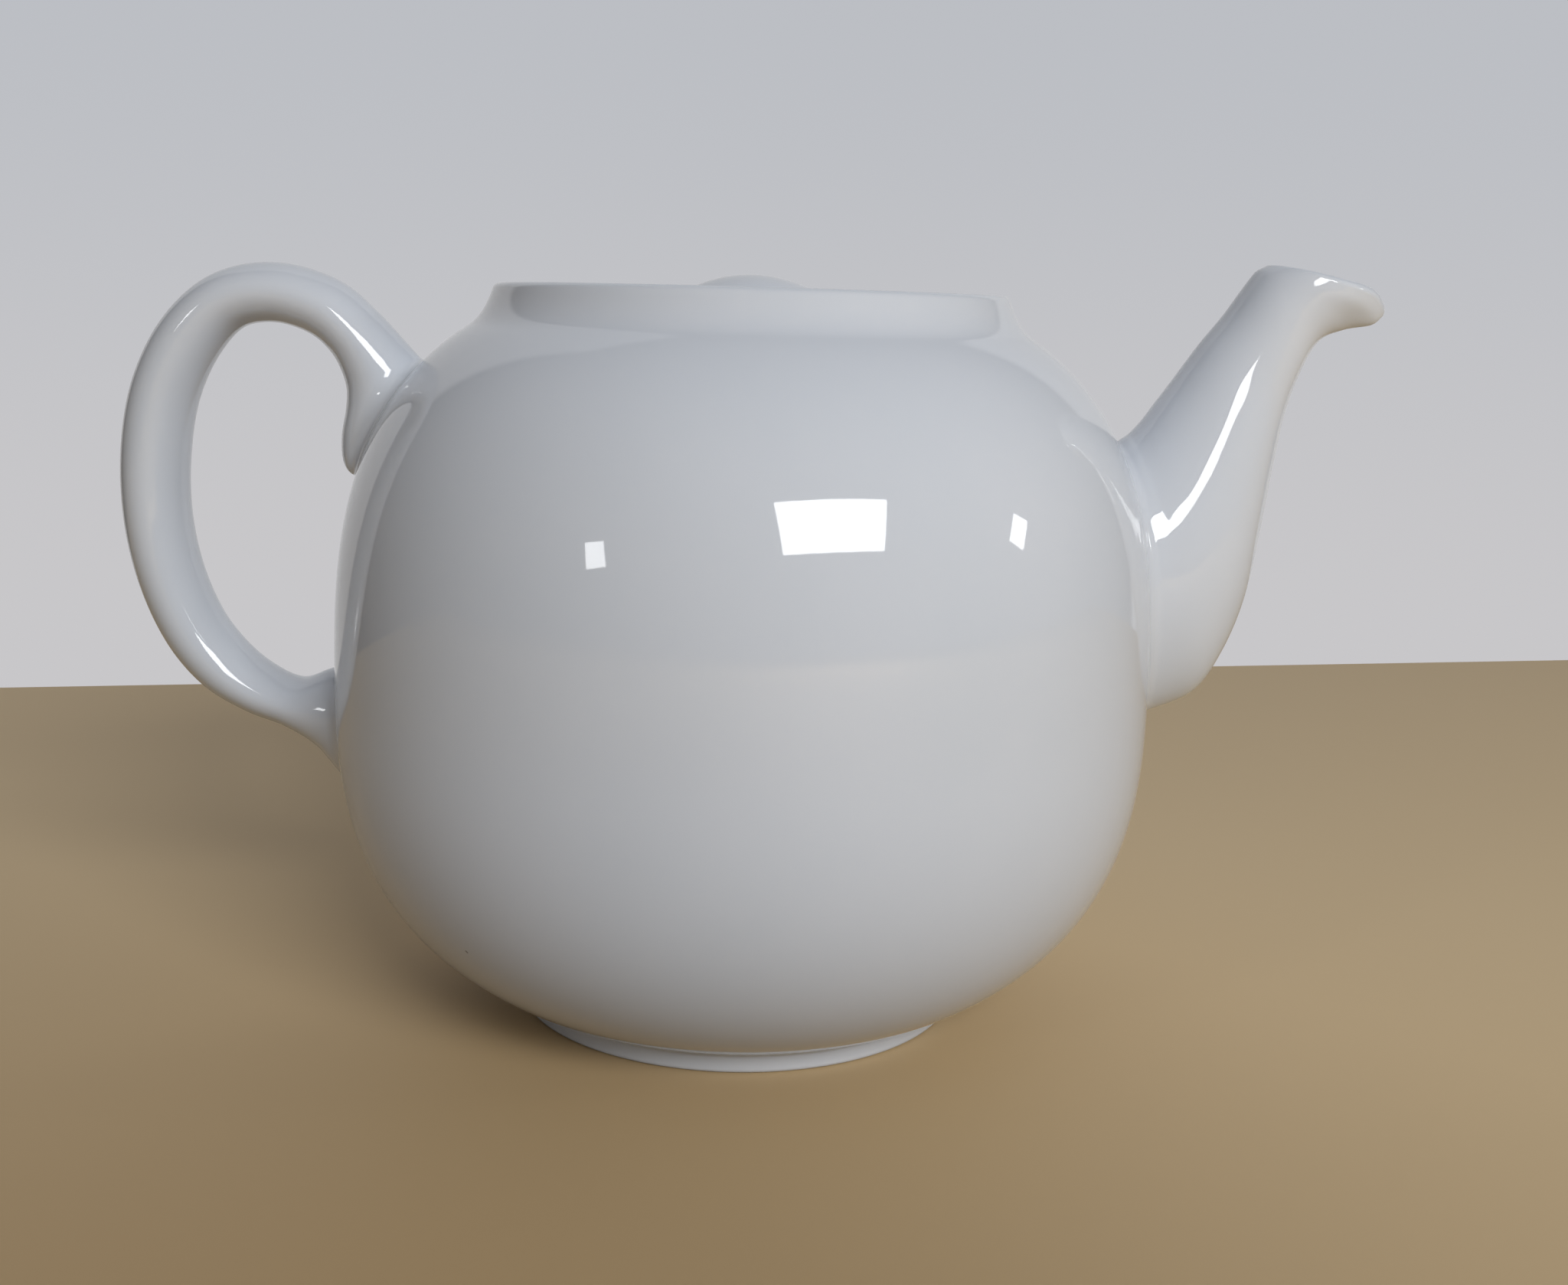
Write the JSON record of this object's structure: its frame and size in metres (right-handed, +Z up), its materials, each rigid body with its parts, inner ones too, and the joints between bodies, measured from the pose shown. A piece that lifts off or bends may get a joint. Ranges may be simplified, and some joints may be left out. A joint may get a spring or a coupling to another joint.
{
  "type": "teapot",
  "caption": "Round-bodied white porcelain teapot with beaked spout, ear-shaped loop handle and sunk lid with disc knob.",
  "frame": {"origin": "centre of the foot ring's resting face, on the table plane", "axes": "+X towards the spout, -X towards the handle, +Z up along the body's axis, +Y makes it right-handed"},
  "size_m": [0.2302, 0.15, 0.1395],
  "materials": {
    "white_glaze": "glossy clear glaze over white porcelain"
  },
  "bodies": {
    "pot": {"pot_body": "white_glaze", "spout": "white_glaze", "handle": "white_glaze"},
    "lid": {"lid": "white_glaze", "lid_knob": "white_glaze"}
  },
  "joints": [
    {"name": "lid_lift", "type": "slide", "parent": "pot", "child": "lid", "axis": [0, 0, 1], "range_m": [0, 0.06]}
  ]
}
